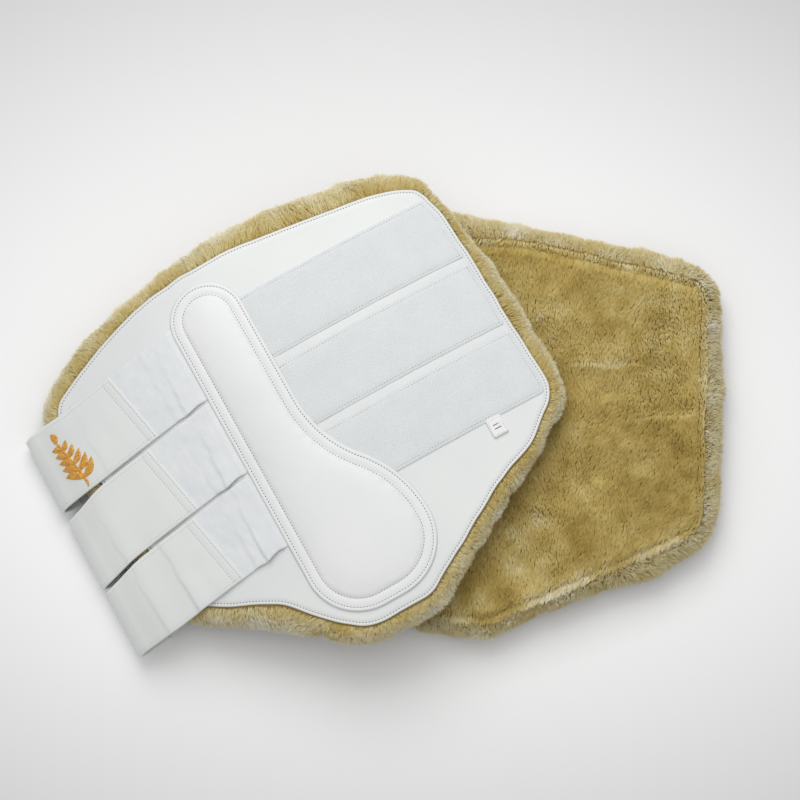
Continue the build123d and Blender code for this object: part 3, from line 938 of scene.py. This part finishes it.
def leg_side_pile(lay, mats, name, low_x, high_x, density, seed):
    """The pile over the side that faces the leg, between two places round the leg."""
    rng = np.random.default_rng(seed)
    loop, _ = soft_loop(lay.letter, 3.0)
    low, high = loop.min(0), loop.max(0)
    step = 1 / sqrt(density)
    across = np.arange(max(low[0], low_x), min(high[0], high_x), step)
    x, y = np.meshgrid(across, np.arange(low[1], high[1], step))
    flat = np.column_stack([x.ravel(), y.ravel()]) + rng.uniform(-0.5, 0.5, (x.size, 2)) * step
    depth = distance_to(loop, flat)
    flat, depth = flat[depth > -0.5], depth[depth > -0.5]
    x, y = flat[:, 0], flat[:, 1]
    root = np.column_stack([flat, skin_depth(x, y, depth)])
    du, dv, own = tufted(x, y, 2.3, 101)
    brush_u = -0.8 + 1.6 * noise(x, y, 44.0, 84) + 0.8 * noise(x, y, 13.0, 85)
    brush_v = -4.2 + 1.2 * noise(x, y, 40.0, 86) + 0.8 * noise(x, y, 13.0, 87)
    in_groove = bump((depth - GROOVE) / 2.0)
    length = 3.1 + 2.3 * smooth((7 - depth) / 7) + 0.4 * noise(x, y, 9.0, 88) - 0.6 * in_groove
    length = length * rng.uniform(0.84, 1.06, len(x))
    push = np.sign(depth - GROOVE) * 0.7 * bump((depth - GROOVE) / 4.0)
    inward = np.column_stack([
        distance_to(loop, flat + (1, 0)) - depth, distance_to(loop, flat + (0, 1)) - depth])
    side, near = parting(x, y) if not lay.arched else (np.zeros((len(x), 2)), np.zeros(len(x)))
    bend = np.column_stack([
        brush_u + 0.3 * du + (own[:, 0] - 0.5) * 0.9 + rng.normal(0, 0.4, len(x)),
        brush_v + 0.3 * dv + (own[:, 1] - 0.5) * 0.9 + rng.normal(0, 0.4, len(x)),
        length])
    bend[:, :2] += inward * push[:, None] + 1.0 * side
    one = np.ones((len(x), 1))
    slope_x = skin_depth(x + 1, y, depth) - skin_depth(x - 1, y, depth)
    slope_y = skin_depth(x, y + 1, depth) - skin_depth(x, y - 1, depth)
    facing = unit(np.column_stack([slope_x, slope_y, -one]))
    width = 0.75 * rng.uniform(0.75, 1.25, len(x))
    made = blades(root, one * (1, 0, 0), one * (0, 1, 0), one * (0, 0, -1), bend, width, rng, facing)
    # Tone of each fibre. Towards the lower edge it is paler and blotchier: partly pale tufts, partly painted
    # highlights where the pile catches the light.
    shade = 0.28 + 0.15 * noise(x, y, 30.0, 89) + 0.15 * noise(x, y, 8.0, 90) + 0.12 * smooth((85 - y) / 60)
    shade = shade + 0.2 * noise(x, y, 15.0, 91) * smooth((100 - y) / 45)
    # Paler along the partings: a painted highlight where the parted pile catches the light.
    shade = shade + 0.08 * (own[:, 0] - 0.5) + 0.22 * bump((depth + 1) / 5.0) + 0.22 * near
    pile_object(lay, name, made, tones(shade, rng, 1), mats)


def rim_pile(lay, mats, side, first, last, density, seed):
    """The pile round the boot's edge between two angles up from its middle, combed outwards."""
    rng = np.random.default_rng(seed)
    loop, width = soft_loop(lay.letter, 1.0)
    ahead = unit(np.roll(loop, -2, 0) - np.roll(loop, 2, 0))
    table = np.column_stack([loop, ahead, width])
    table = np.vstack([table, table[:1]])
    along = lengths_along(table[:, :2])
    count = int(along[-1] * RIM_ROUND * density * (last - first) / RIM_SPAN)
    u = rng.uniform(0, along[-1], count)
    angle = np.radians(rng.uniform(first, last, count))
    table = rows_at(u, along, table)
    edge, way = table[:, :2], unit(table[:, 2:4])
    outward = np.column_stack([-way[:, 1], way[:, 0]])
    zero = np.zeros((count, 1))
    along_u = np.hstack([way, zero])
    cosine, sine = np.cos(angle)[:, None], np.sin(angle)[:, None]
    out = np.hstack([outward * cosine, sine])
    along_v = np.hstack([-outward * sine, cosine])
    lumps = 1.3 * noise(u, u, 11.0, 95)
    reach = (table[:, 4] + lumps - RIM_PILE)[:, None]
    root = np.hstack([edge + outward * cosine * reach, zero + RIM_HEIGHT + sine * RIM_BASE])
    v = angle * RIM_BASE * 1.6
    du, dv, own = tufted(u, v + 50, 3.2, 96)
    upper = smooth((np.degrees(angle) - 25) / 60)
    lower = smooth((-np.degrees(angle) - 30) / 60)
    wave = noise(u, v, 12.0, 97)
    length = (5.5 + 0.6 * wave) * rng.uniform(0.72, 1.1, count) * (1 - 0.36 * upper) * (1 - 0.12 * lower)
    bend = np.column_stack([
        0.36 * du + 2.4 * noise(u, v, 24.0, 98) + (own[:, 0] - 0.5) * 1.6 + rng.normal(0, 0.9, count),
        0.36 * dv + (own[:, 1] - 0.5) * 1.6 + rng.normal(0, 0.9, count) - 3.8 * upper + 0.8 * lower,
        length])
    facing = unit(out + (0, 0, 1.7 if lay.arched else -2.3))
    made = blades(root, along_u, along_v, out, bend, 0.42 * rng.uniform(0.7, 1.3, count), rng, facing)
    shade = (0.77 if lay.arched else 0.69) + 0.13 * noise(u, v, 13.0, 99) + 0.08 * wave
    shade = shade + 0.1 * (own[:, 0] - 0.5) - 0.24 * upper
    pile_object(lay, f"rim_{side}", made, tones(shade, rng, 0), mats)


# ---- straps

class Strap:
    """One strap: s runs along it from its root, t across it, and lift outwards off its middle.

    Its line in x and z goes along the boot, round the roll, and back.
    """

    def __init__(self, lay, index):
        self.lay, self.index, self.name = lay, index, STRAP_NAMES[index]
        middle = SHELL_TOP + STRAP_LIFT + TAB_THICK / 2
        if lay.arched:
            self.radius = ARCH_RADIUS + middle
            self.start = asin((HINGE_X - ARCH_X) / self.radius)
            end = asin((FOLD_X - ARCH_X) / self.radius)
            self.band = self.radius * (self.start - end)
            x = ARCH_X + self.radius * sin(end)
            z = ARCH_Z + self.radius * cos(end)
            self.roll = (z - LEAF_Z) / (1 + cos(end))
            self.centre = (x - self.roll * sin(end), z - self.roll * cos(end))
            self.first_angle, self.last_angle = pi / 2 - end, 1.5 * pi
        else:
            self.flat_z = FLAT_TOP - middle
            self.band = HINGE_X - FOLD_X
            self.roll = FLAT_ROLL
            self.centre = (FOLD_X, self.flat_z + self.roll)
            self.first_angle, self.last_angle = -pi / 2, -1.5 * pi
        self.round = self.roll * abs(self.last_angle - self.first_angle)
        self.end = self.band + self.round + LEAF_END_X[index] - self.centre[0]

    def at(self, s, lift):
        """x and z at a distance along the strap, lifted off it towards its outer face."""
        if self.lay.arched:
            angle = self.start - s / self.radius
            x_band = ARCH_X + (self.radius + lift) * np.sin(angle)
            z_band = ARCH_Z + (self.radius + lift) * np.cos(angle)
        else:
            x_band = HINGE_X - s
            z_band = self.flat_z - lift + 0.0 * s
        share = np.clip((s - self.band) / self.round, 0.0, 1.0)
        angle = self.first_angle + (self.last_angle - self.first_angle) * share
        x_roll = self.centre[0] + (self.roll + lift) * np.cos(angle)
        z_roll = self.centre[1] + (self.roll + lift) * np.sin(angle)
        beyond = np.maximum(s - self.band - self.round, 0.0)
        on_band = s < self.band
        return np.where(on_band, x_band, x_roll + beyond), np.where(on_band, z_band, z_roll)

    def s_at(self, x):
        """Distance along the strap of a place on its flat stretch."""
        if self.lay.arched:
            return self.radius * (self.start - np.arcsin((x - ARCH_X) / self.radius))
        return HINGE_X - np.asarray(x, float)

    def seam(self, t):
        """Distance along the strap of its elastic seam."""
        return self.s_at(HINGE_X - ELASTIC_LENGTHS[self.index] - SEAM_SLANT * np.asarray(t, float))

    def place(self, s, t, lift):
        """Model frame points."""
        s, t, lift = np.broadcast_arrays(np.asarray(s, float), t, lift)
        x, z = self.at(s, lift)
        y = STRAP_LOW_Y + self.index * STRAP_PITCH + x * SLANT + t
        if self.lay.arched:
            z = z + self.lay.sag(x, y, SHELL_TOP) * (s < self.band)
        return self.lay.to_model(x, y, z)

    def body(self):
        return self.lay.named(f"strap_{self.name}")


def ring_profile(half, thick, steps=26):
    """Places across a band and their share of its half thickness, round its section."""
    r = thick / 2
    edge = np.array([0.0, 0.12, 0.45, 1.0]) * r
    rise = np.array([0.12, 0.48, 0.84, 1.0])
    inner = np.linspace(-half + r, half - r, steps)
    across = np.concatenate([-half + edge[:-1], inner, (half - edge[:-1])[::-1]])
    share = np.concatenate([rise[:-1], np.ones(steps), rise[:-1][::-1]])
    return across, share


def band(strap, rows, across, share, thick, s_of, lift_of, t_of=None):
    """A closed band along a strap: model frame points and faces."""
    ring_t = np.concatenate([across, across[::-1]])[None, :]
    sign = np.concatenate([share, -share[::-1]])[None, :]
    amount = np.linspace(0, 1, rows)[:, None]
    s = s_of(amount, ring_t)
    t = ring_t + (t_of(s, ring_t) if t_of else 0.0)
    points = strap.place(s, t, lift_of(s, t) + sign * thick(s, t) / 2)
    columns = ring_t.shape[1]
    rings = np.arange(rows * columns).reshape(rows, columns)
    j = np.arange(columns // 2 - 1)
    cap = quads(j, columns - 1 - j, columns - 2 - j, j + 1)
    faces = np.vstack([wall(rings[:-1], rings[1:]), cap, cap[:, ::-1] + (rows - 1) * columns])
    if not strap.lay.arched:
        faces = faces[:, ::-1]
    return points.reshape(-1, 3), faces


def elastic(strap, mats):
    """The ribbed elastic between the strike pad and the tab, with its creases."""
    lay, index = strap.lay, strap.index
    across, share = ring_profile(STRAP_WIDTH / 2, ELASTIC_THICK, 34)
    strong = (1.0, 0.65, 0.55)[index]

    def s_of(amount, t):
        return -ELASTIC_ROOT + (strap.seam(t) + ELASTIC_LAP + ELASTIC_ROOT) * amount

    def lift_of(s, t):
        low_side = 0.3 + 0.7 * smooth((0.5 - t / (STRAP_WIDTH / 2)) / 1.4)
        slope = 0.04 * t + 1.2 * noise(t, t, 9.0, 63 + index)
        rise = 1.7 * tuck(s - 12.5 + slope) + 0.6 * tuck(s - 21.5 - slope)
        dip = -0.95 * smooth((1.5 - s) / 3.5)
        fine = 0.16 * noise(s * 2.2, t, 6.0, 61 + index)
        return -0.3 + strong * low_side * rise + dip + fine * smooth(s / 6)

    def thick(s, t):
        return ELASTIC_THICK - 0.8 * smooth((0.5 - s) / 2.5) + 0.0 * t

    def wave(s, t):
        edge = smooth((-t / (STRAP_WIDTH / 2) - 0.55) / 0.45)
        return edge * strong * 0.8 * np.sin(s / 3.1) * smooth(s / 3) * smooth((26 - s) / 12)

    points, faces = band(strap, 60, across, share, thick, s_of, lift_of, wave)
    piece = make_object(lay, f"elastic_band_{strap.name}", points, faces, [mats.elastic[lay.letter]])
    bend_at_root(piece, lay, strap.name)
    tails = ["elastic_tails"] if index == 0 else []
    stands_for(piece, lay, "elastic", f"elastic_{strap.name}", *tails)


def tuck(off):
    """A fold across a strap: a slow rise, then a steep fall at off = 0."""
    return smooth((off + 15) / 15) * (1 - smooth(off / 2.4))


def tab_shape(strap):
    """Lift and sideways shift of a tab: soft folds across it, and how its edges run at the roll."""
    folds = (((68.0, 1.4), (93.0, 0.8)), ((96.0, 0.5),), ((78.0, 0.35),))[strap.index]
    low_shift, high_shift = ((1.8, -2.7), (-1.9, -3.8), (1.4, 3.0))[strap.index]
    fold_start = strap.band

    def lift_of(s, t):
        lift = 0.12 * noise(s, t, 13.0, 71 + strap.index)
        low_side = 0.45 + 0.55 * smooth((0.4 - t / (STRAP_WIDTH / 2)) / 1.2)
        for at, depth in folds:
            off = s - at - 0.04 * t + 1.3 * noise(t, at, 11.0, 73)
            lift = lift + low_side * depth * tuck(off)
        rise = smooth((s - strap.seam(t) - 6.0) / 12.0)
        droop = 2.8 * smooth((s - fold_start + 22) / 25) * (1 - smooth((s - fold_start - 3) / 12))
        lift = lift * smooth((fold_start + 2 - s) / 8) + 0.45 * smooth((fold_start - s) / 14)
        return rise * lift - droop

    def t_of(s, t):
        share = smooth((t / (STRAP_WIDTH / 2) + 1) / 2)
        return (low_shift * (1 - share) + high_shift * share) * smooth((s - fold_start + 30) / 38)

    return lift_of, t_of


# Stitch rows of a tab: how far in from its long edges, and how far from the elastic seam.
TAB_ROW, SEAM_ROWS = 2.5, (1.6, 6.6)


def tab(strap, mats):
    """The leather tab with its rolled end and stitching."""
    lay = strap.lay
    across, share = ring_profile(STRAP_WIDTH / 2, TAB_THICK, 26)
    lift_of, t_of = tab_shape(strap)

    def s_of(amount, t):
        return strap.seam(t) + (strap.end - strap.seam(t)) * amount

    def thick(s, t):
        pressed = bump((np.abs(t) - STRAP_WIDTH / 2 + TAB_ROW) / 0.8) * 0.3
        for distance in SEAM_ROWS:
            pressed = pressed + 0.35 * bump((s - strap.seam(t) - distance) / 0.8)
        return TAB_THICK - pressed

    points, faces = band(strap, 110, across, share, thick, s_of, lift_of, t_of)
    piece = make_object(lay, f"tab_{strap.name}", points, faces, [mats.tab[lay.letter]])
    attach(piece, strap.body())
    stands_for(piece, lay, "tab_leather", f"strap_tab_{strap.name}")
    length = strap.end - float(strap.seam(0))

    def row(s, t):
        shift = t + t_of(s, t)
        lift = lift_of(s, t) + TAB_THICK / 2 - 0.12
        return strap.place(s, shift, lift), strap.place(s, shift, lift + 0.5)

    rows = []
    for side in (-1, 1):
        t = side * (STRAP_WIDTH / 2 - TAB_ROW)
        rows.append(row(np.arange(float(strap.seam(t)) + SEAM_ROWS[0], strap.end - 1.5, STITCH_PITCH), t))
    t = np.arange(-STRAP_WIDTH / 2 + TAB_ROW, STRAP_WIDTH / 2 - TAB_ROW + 0.1, STITCH_PITCH)
    for distance in SEAM_ROWS:
        rows.append(row(strap.seam(t) + distance, t))
    thread = sewn(f"tab_stitching_{strap.name}", rows, [mats.pale_thread], lay, length=1.1, height=0.3)
    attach(thread, strap.body())


def hook_patch(strap, mats):
    """The hook patch inside a rolled end."""
    lay = strap.lay
    across, share = ring_profile(STRAP_WIDTH / 2 - 3.0, 0.9, 18)
    _, t_of = tab_shape(strap)
    first = strap.band + strap.round + (HOOK_START_X - strap.centre[0])
    last = strap.end - 0.5
    points, faces = band(
        strap, 8, across, share, lambda s, t: 0.9 + 0.0 * s * t,
        lambda amount, t: first + (last - first) * amount + 0.0 * t,
        lambda s, t: -TAB_THICK / 2 - 0.5 + 0.0 * s * t, t_of)
    piece = make_object(lay, f"hooks_{strap.name}", points, faces, [mats.hook])
    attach(piece, strap.body())
    stands_for(piece, lay, "hook_tape", f"hook_patch_{strap.name}")


def leaf_points(base, way, length, width, lift):
    """A lens-shaped satin-stitched leaf on a strap: places, lifts and faces."""
    rows, columns = 15, 7
    a, b = np.meshgrid(np.linspace(0, 1, rows), np.linspace(-1, 1, columns), indexing="ij")
    half = width / 2 * np.power(np.sin(pi * np.clip(a, 0.015, 0.985)), 0.8)
    side = np.array([-way[1], way[0]])
    curl = 0.12 * length * np.sin(pi * a)
    place = base + (a * length)[..., None] * way + (b * half + curl)[..., None] * side
    ridge = 0.1 * (np.arange(rows) % 2)[:, None]
    crown = 0.55 * np.sqrt(np.clip(1 - b * b, 0, 1)) + ridge
    high = lift + crown * np.sin(pi * np.clip(a, 0.05, 0.95))**0.4
    high = np.where(np.abs(b) > 0.99, -0.1, high)
    index = np.arange(rows * columns).reshape(rows, columns)
    faces = quads(index[:-1, :-1], index[:-1, 1:], index[1:, 1:], index[1:, :-1])
    return place.reshape(-1, 2), high.ravel(), faces


def emblem(strap, mats):
    """A plain embroidered sprig: a bent stem with leaves and a bud."""
    lay = strap.lay
    lift_of, _ = tab_shape(strap)
    row_y = STRAP_LOW_Y + 2 * STRAP_PITCH + EMBLEM_CENTRE[0] * SLANT
    centre = np.array([float(strap.s_at(EMBLEM_CENTRE[0])), EMBLEM_CENTRE[1] - row_y])
    bend = np.linspace(-11.5, 8.0, 7)
    stem = np.column_stack([1.8 * np.sin(bend / 7.0), bend]) * EMBLEM_SCALE
    leaves = []
    for k in range(1, 6):
        for side in (-1, 1):
            leaves.append((stem[k], unit(np.array([side * 0.86, 0.62])), 8.8 - 0.9 * k, 3.6 - 0.22 * k))
    leaves.append((stem[6], np.array([0.1, 1.0]), 4.6, 3.2))
    for base, step in zip(stem, np.diff(stem, axis=0)):
        leaves.append((base - step * 0.1, unit(step), 1.25 * float(np.linalg.norm(step)) / EMBLEM_SCALE, 1.3))
    places, lifts, all_faces, count = [], [], [], 0
    for base, way, length, width in leaves:
        place, lift, faces = leaf_points(base, way, length * EMBLEM_SCALE, width * EMBLEM_SCALE, 0.15)
        places.append(place)
        lifts.append(lift)
        all_faces.append(faces + count)
        count += len(place)
    place, lift = np.vstack(places) + centre, np.concatenate(lifts)
    s, t = place[:, 0], place[:, 1]
    points = strap.place(s, t, lift_of(s, t) + TAB_THICK / 2 + lift)
    faces = np.vstack(all_faces)
    if lay.arched:
        faces = faces[:, ::-1]
    piece = make_object(lay, "emblem", points, faces, [mats.gold])
    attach(piece, strap.body())
    stands_for(piece, lay, "emblem_thread", "strap_emblem")


# ---- the pair


def build(lay, mats, root_density, wing_density, rim_density, seed):
    """Every piece of one boot."""
    shell = outer_shell(lay, mats)
    lay.named("foam")
    foam_sheet(lay, mats)
    strike_pad(lay, mats)
    loop_strips(lay, mats)
    size_tag(lay, mats)
    for index in range(3):
        strap = Strap(lay, index)
        elastic(strap, mats)
        tab(strap, mats)
        hook_patch(strap, mats)
        if index == 2:
            emblem(strap, mats)
    fleece_skin(lay, mats)
    leg_side_pile(lay, mats, "root_side", -200.0, 40.0, root_density, seed)
    leg_side_pile(lay, mats, "wing_side", 40.0, 240.0, wing_density, seed + 10)
    rim_pile(lay, mats, "under", -90.0, 0.0, rim_density, seed + 20)
    rim_pile(lay, mats, "over", 0.0, 88.0, rim_density, seed + 30)


CAMERA_AIM, CAMERA_DISTANCE, CAMERA_RISE = (0.0152, 0.0077, 0.030), 1.4, radians(78.0)


def camera():
    """The view from above the front, through a long lens."""
    data = bpy.data.cameras.new("camera")
    data.sensor_width = 36.0
    data.lens = 97.0
    data.clip_start, data.clip_end = 0.1, 20.0
    made = bpy.data.objects.new("camera", data)
    bpy.context.scene.collection.objects.link(made)
    back = Vector((0.0, -cos(CAMERA_RISE), sin(CAMERA_RISE)))
    made.location = Vector(CAMERA_AIM) + back * CAMERA_DISTANCE
    made.rotation_euler = (pi / 2 - CAMERA_RISE, 0.0, 0.0)
    bpy.context.scene.camera = made


def area_light(name, location, size, power):
    """A soft square light, aimed at the middle of the table."""
    data = bpy.data.lights.new(name, "AREA")
    data.shape, data.size, data.energy = "SQUARE", size, power
    made = bpy.data.objects.new(name, data)
    bpy.context.scene.collection.objects.link(made)
    made.location = location
    made.rotation_mode = "QUATERNION"
    # A difference, since minus the location would hold minus zeros, which turn a light overhead.
    made.rotation_quaternion = (Vector((0.0, 0.0, 0.0)) - Vector(location)).to_track_quat("-Z", "Y")


def studio():
    """A pale table with painted light fall-off, darker away from its middle, and soft light from above and
    behind.
    """
    bpy.ops.mesh.primitive_plane_add(size=6.0, location=(0.0, 0.0, -0.0002))
    floor = bpy.context.active_object
    floor.name = "table"
    mapping = {"Scale": (1.2, 1.9, 1.5), "Location": (-0.02, 0.04, 0.0)}
    finish = Finish("table", (240, 240, 240), 0.9, mapping=mapping)
    # Painted light fall-off: the table's colour darkens away from the middle, standing in for the lamps'
    # light dropping off there.
    painted_falloff = finish.texture("Gradient", gradient_type="SPHERICAL")
    finish.tint(painted_falloff.outputs["Fac"], (206, 206, 206), (252, 252, 252))
    floor.data.materials.append(finish.material)
    world = bpy.data.worlds.new("world")
    world.use_nodes = True
    background = world.node_tree.nodes["Background"].inputs
    background["Color"].default_value = (1.0, 1.0, 1.0, 1.0)
    background["Strength"].default_value = 0.5
    bpy.context.scene.world = world
    area_light("key", (-0.1, 0.75, 1.0), 0.9, 7.6)
    area_light("top", (0.0, 0.0, 1.9), 1.2, 4.5)
    bpy.context.scene.view_settings.view_transform = "Standard"


camera()
studio()
lays = [Lay("a"), Lay("b")]
materials = Materials(lays)
build(lays[0], materials, 0.7, 0.9, 5.5, 100)
build(lays[1], materials, 0.9, 1.95, 5.5, 200)
